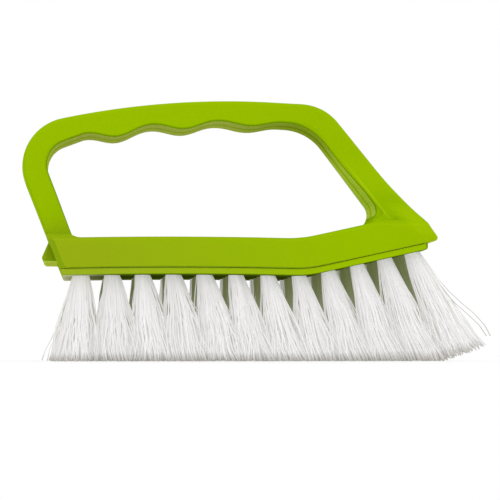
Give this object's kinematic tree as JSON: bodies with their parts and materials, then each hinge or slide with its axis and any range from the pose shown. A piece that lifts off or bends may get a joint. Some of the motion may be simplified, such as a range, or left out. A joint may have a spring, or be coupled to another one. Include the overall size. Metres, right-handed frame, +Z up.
{
  "type": "scrub brush",
  "caption": "Scrub brush with a closed-loop plastic handle in two moulded halves, a bent base that rises to a pointed nose, and a block of white bristle tufts.",
  "frame": {"origin": "under the middle of the brush, on the plane of the trimmed bristle tips", "axes": "+X runs along the brush to its pointed nose, +Z up from the bristle tips to the grip, +Y to the brush's left; the halves meet on the plane Y = 0"},
  "size_m": [0.1594, 0.052, 0.0938],
  "materials": {
    "handle": "satin lime green",
    "block": "satin lime green",
    "bristle": "white nylon filament"
  },
  "bodies": {
    "root": {"bristle_block": "block", "left_handle_shell": "handle", "right_handle_shell": "handle", "tuft_r1_c01": "bristle", "tuft_r1_c02": "bristle", "tuft_r1_c03": "bristle", "tuft_r1_c04": "bristle", "tuft_r1_c05": "bristle", "tuft_r1_c06": "bristle", "tuft_r1_c07": "bristle", "tuft_r1_c08": "bristle", "tuft_r1_c09": "bristle", "tuft_r1_c10": "bristle", "tuft_r1_c11": "bristle", "tuft_r1_c12": "bristle", "tuft_r2_c01": "bristle", "tuft_r2_c02": "bristle", "tuft_r2_c03": "bristle", "tuft_r2_c04": "bristle", "tuft_r2_c05": "bristle", "tuft_r2_c06": "bristle", "tuft_r2_c07": "bristle", "tuft_r2_c08": "bristle", "tuft_r2_c09": "bristle", "tuft_r2_c10": "bristle", "tuft_r2_c11": "bristle", "tuft_r2_c12": "bristle", "tuft_r3_c01": "bristle", "tuft_r3_c02": "bristle", "tuft_r3_c03": "bristle", "tuft_r3_c04": "bristle", "tuft_r3_c05": "bristle", "tuft_r3_c06": "bristle", "tuft_r3_c07": "bristle", "tuft_r3_c08": "bristle", "tuft_r3_c09": "bristle", "tuft_r3_c10": "bristle", "tuft_r3_c11": "bristle", "tuft_r3_c12": "bristle", "tuft_r4_c01": "bristle", "tuft_r4_c02": "bristle", "tuft_r4_c03": "bristle", "tuft_r4_c04": "bristle", "tuft_r4_c05": "bristle", "tuft_r4_c06": "bristle", "tuft_r4_c07": "bristle", "tuft_r4_c08": "bristle", "tuft_r4_c09": "bristle", "tuft_r4_c10": "bristle", "tuft_r4_c11": "bristle", "tuft_r4_c12": "bristle"}
  },
  "joints": []
}
